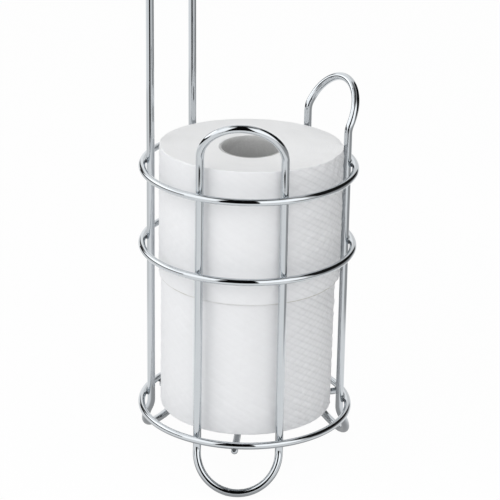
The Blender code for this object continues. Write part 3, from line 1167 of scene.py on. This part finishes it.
disc = bmesh.new()
bmesh.ops.create_circle(disc, cap_ends=True, segments=FLOOR_SIDES, radius=FLOOR_RADIUS)
floor = put_in_scene("studio_floor", disc, [floor_finish()])
floor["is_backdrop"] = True
print("floor:", FLOOR_SIDES, "sides")

# %% [markdown]
# Chrome shows the room. The photograph was taken in a white tent: two bright panels stand to the left
# and right of the camera with a dark gap between them, the roof is dark, and there is an opening to
# the right and a narrow dark gap low on the left. The tent is a dome that only reflections see, and its
# shade is worked out from the direction: a turn round the cage and a height above its middle. Each row
# of the table is laid over the rows before it.

# %% Reflection tent
TENT_RADIUS = 0.9
TENT_HEIGHT = 0.2
TENT_SIDES = 96
TENT_ROWS = 48
TENT_PATCHES = [
    # turn from, turn to, height from, height to, soft edge, level
    (-180, -84, -10, 60, 10, 1.1),
    (-84, -29, -12, 4, 6, 0.98),
    (-80, -29, 6, 58, 4, 1.5),
    (-126, -84, 13, 36, 3, 1.8),
    (-152, -133, 6, 21, 4, 0.08),
    (-138, -62, -5, 9, 1.5, 0.0),
    (15, 62, 0, 50, 6, 1.55),
    (150, 180, -20, 60, 12, 0.85),
    (84, 146, -16, 8, 8, 0.3),
    (76, 150, 4, 56, 6, 0.01),
    (-180, 180, 66, 90, 6, 0.2),
    (-180, -60, 66, 78, 6, 0.33),
    (-23, 14, -16, 90, 2.5, 0.003),
    (-60, 14, 62, 90, 6, 0.005),
    (-180, 180, 80, 90, 4, 0.05),
]
TENT_WALL = 0.75


def tent_finish():
    """A light that changes with the direction."""
    material, graph = new_finish("tent_cloth")
    x, y, z = graph.axes(graph.place())
    turn = graph.turn(x, y) * IN_DEGREES
    height = graph.sum("ARCSINE", (z - TENT_HEIGHT) / TENT_RADIUS) * IN_DEGREES
    level = TENT_WALL
    for left, right, low, high, soft, patch in TENT_PATCHES:
        mask = graph.window(turn, left, right, soft) * graph.window(height, low, high, soft)
        level = level + mask * (patch - level)
    graph.surface(graph.glow(level))
    return material


dome = bmesh.new()
bmesh.ops.create_uvsphere(dome, u_segments=TENT_SIDES, v_segments=TENT_ROWS, radius=TENT_RADIUS,
                          matrix=Matrix.Translation(UP * TENT_HEIGHT))
tent = put_in_scene("tent", dome, [tent_finish()])
tent.visible_camera = False
tent.visible_diffuse = False
tent.visible_shadow = False
tent.visible_transmission = False
tent.visible_volume_scatter = False
tent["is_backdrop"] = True
print("tent with", len(TENT_PATCHES), "patches")

# %% [markdown]
# The paper is lit by the white room and by three soft lamps: one from the left, a weaker one from the
# right, and one overhead for the rolls' ends. They throw soft shadows of the front wires on the paper.
# A lamp's power follows from its distance, so it can be moved without a change in brightness.

# %% Lamps
LAMPS = {
    # turn from the front, height, distance, size, strength
    "left_lamp": (-54, 31, 1.3, 1.15, 0.41),
    "right_lamp": (28, 25, 1.3, 1.0, 0.18),
    "roof_lamp": (60, 72, 1.3, 0.5, 0.2),
}


def make_lamp(name, turn, height, distance, size, strength):
    """A square soft lamp whose light at the cage has this strength."""
    data = bpy.data.lights.new(name, "AREA")
    data.shape = "SQUARE"
    data.size = size
    data.energy = strength * math.pi * math.pi * distance ** 2
    lamp = bpy.data.objects.new(name, data)
    bpy.context.scene.collection.objects.link(lamp)
    turned = Matrix.Rotation(turn * DEGREE, 4, "Z")
    tipped = Matrix.Rotation(QUARTER_TURN - height * DEGREE, 4, "X")
    back = Matrix.Translation((0.0, 0.0, distance))
    lamp.matrix_world = Matrix.Translation(UP * TENT_HEIGHT) @ turned @ tipped @ back
    lamp.visible_glossy = False
    print(name, round(data.energy, 2), "W")


for lamp_name, lamp_values in LAMPS.items():
    make_lamp(lamp_name, *lamp_values)

# %% [markdown]
# A black card at the right, behind the holder, keeps light off the paper's edge there. It is an
# upright line, spun part of the way round.

# %% Black card
FLAG_REACH = 0.5
FLAG_HEIGHT = 0.7
FLAG_FROM = 96 * DEGREE
FLAG_TO = 150 * DEGREE
FLAG_STEPS = 24
FLAG_BLACK = (0.01, 0.01, 0.01, 1.0)

black_card, black_graph = new_finish("black_card")
black_graph.surface(black_graph.paint(FLAG_BLACK))
card = bmesh.new()
start = Matrix.Rotation(FLAG_FROM, 4, "Z") @ Vector((0.0, -FLAG_REACH, 0.0))
edge = card.edges.new([card.verts.new(start), card.verts.new(start + UP * FLAG_HEIGHT)])
bmesh.ops.spin(card, geom=list(edge.verts) + [edge], cent=(0.0, 0.0, 0.0), axis=UP,
               angle=FLAG_TO - FLAG_FROM, steps=FLAG_STEPS)
flag = put_in_scene("flag", card, [black_card])
flag.visible_camera = False
flag.visible_glossy = False
flag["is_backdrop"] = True
print("black card:", len(flag.data.polygons), "faces")

# %% [markdown]
# The world is plain white for the camera, and a little less for the light it gives. The Standard view
# transform shows that white as white.

# %% World
WORLD_LIGHT = 0.6
WHITE = (1.0, 1.0, 1.0, 1.0)

world = bpy.data.worlds.new("white_room")
bpy.context.scene.world = world
world.use_nodes = True
sky = Graph(world.node_tree)
strength = WORLD_LIGHT + (1 - WORLD_LIGHT) * sky.looking()
light = sky.node("ShaderNodeBackground", {}, {"Color": WHITE, "Strength": strength}, 0)
sky.node("ShaderNodeOutputWorld", {}, {"Surface": light})
bpy.context.scene.view_settings.view_transform = "Standard"
print("world:", world.name)

# %% [markdown]
# Both boxes are written side by side, the imported model's and the dressed one's, so that a piece that
# has grown past its solid is noticed at once.

# %% Print the boxes, and finish
visual_low, visual_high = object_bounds()
for side, packed, dressed in (("low", cad_low, visual_low), ("high", cad_high, visual_high)):
    print(side, "packed", [round(value / MM, 3) for value in packed])
    print(side, "dressed", [round(value / MM, 3) for value in dressed])
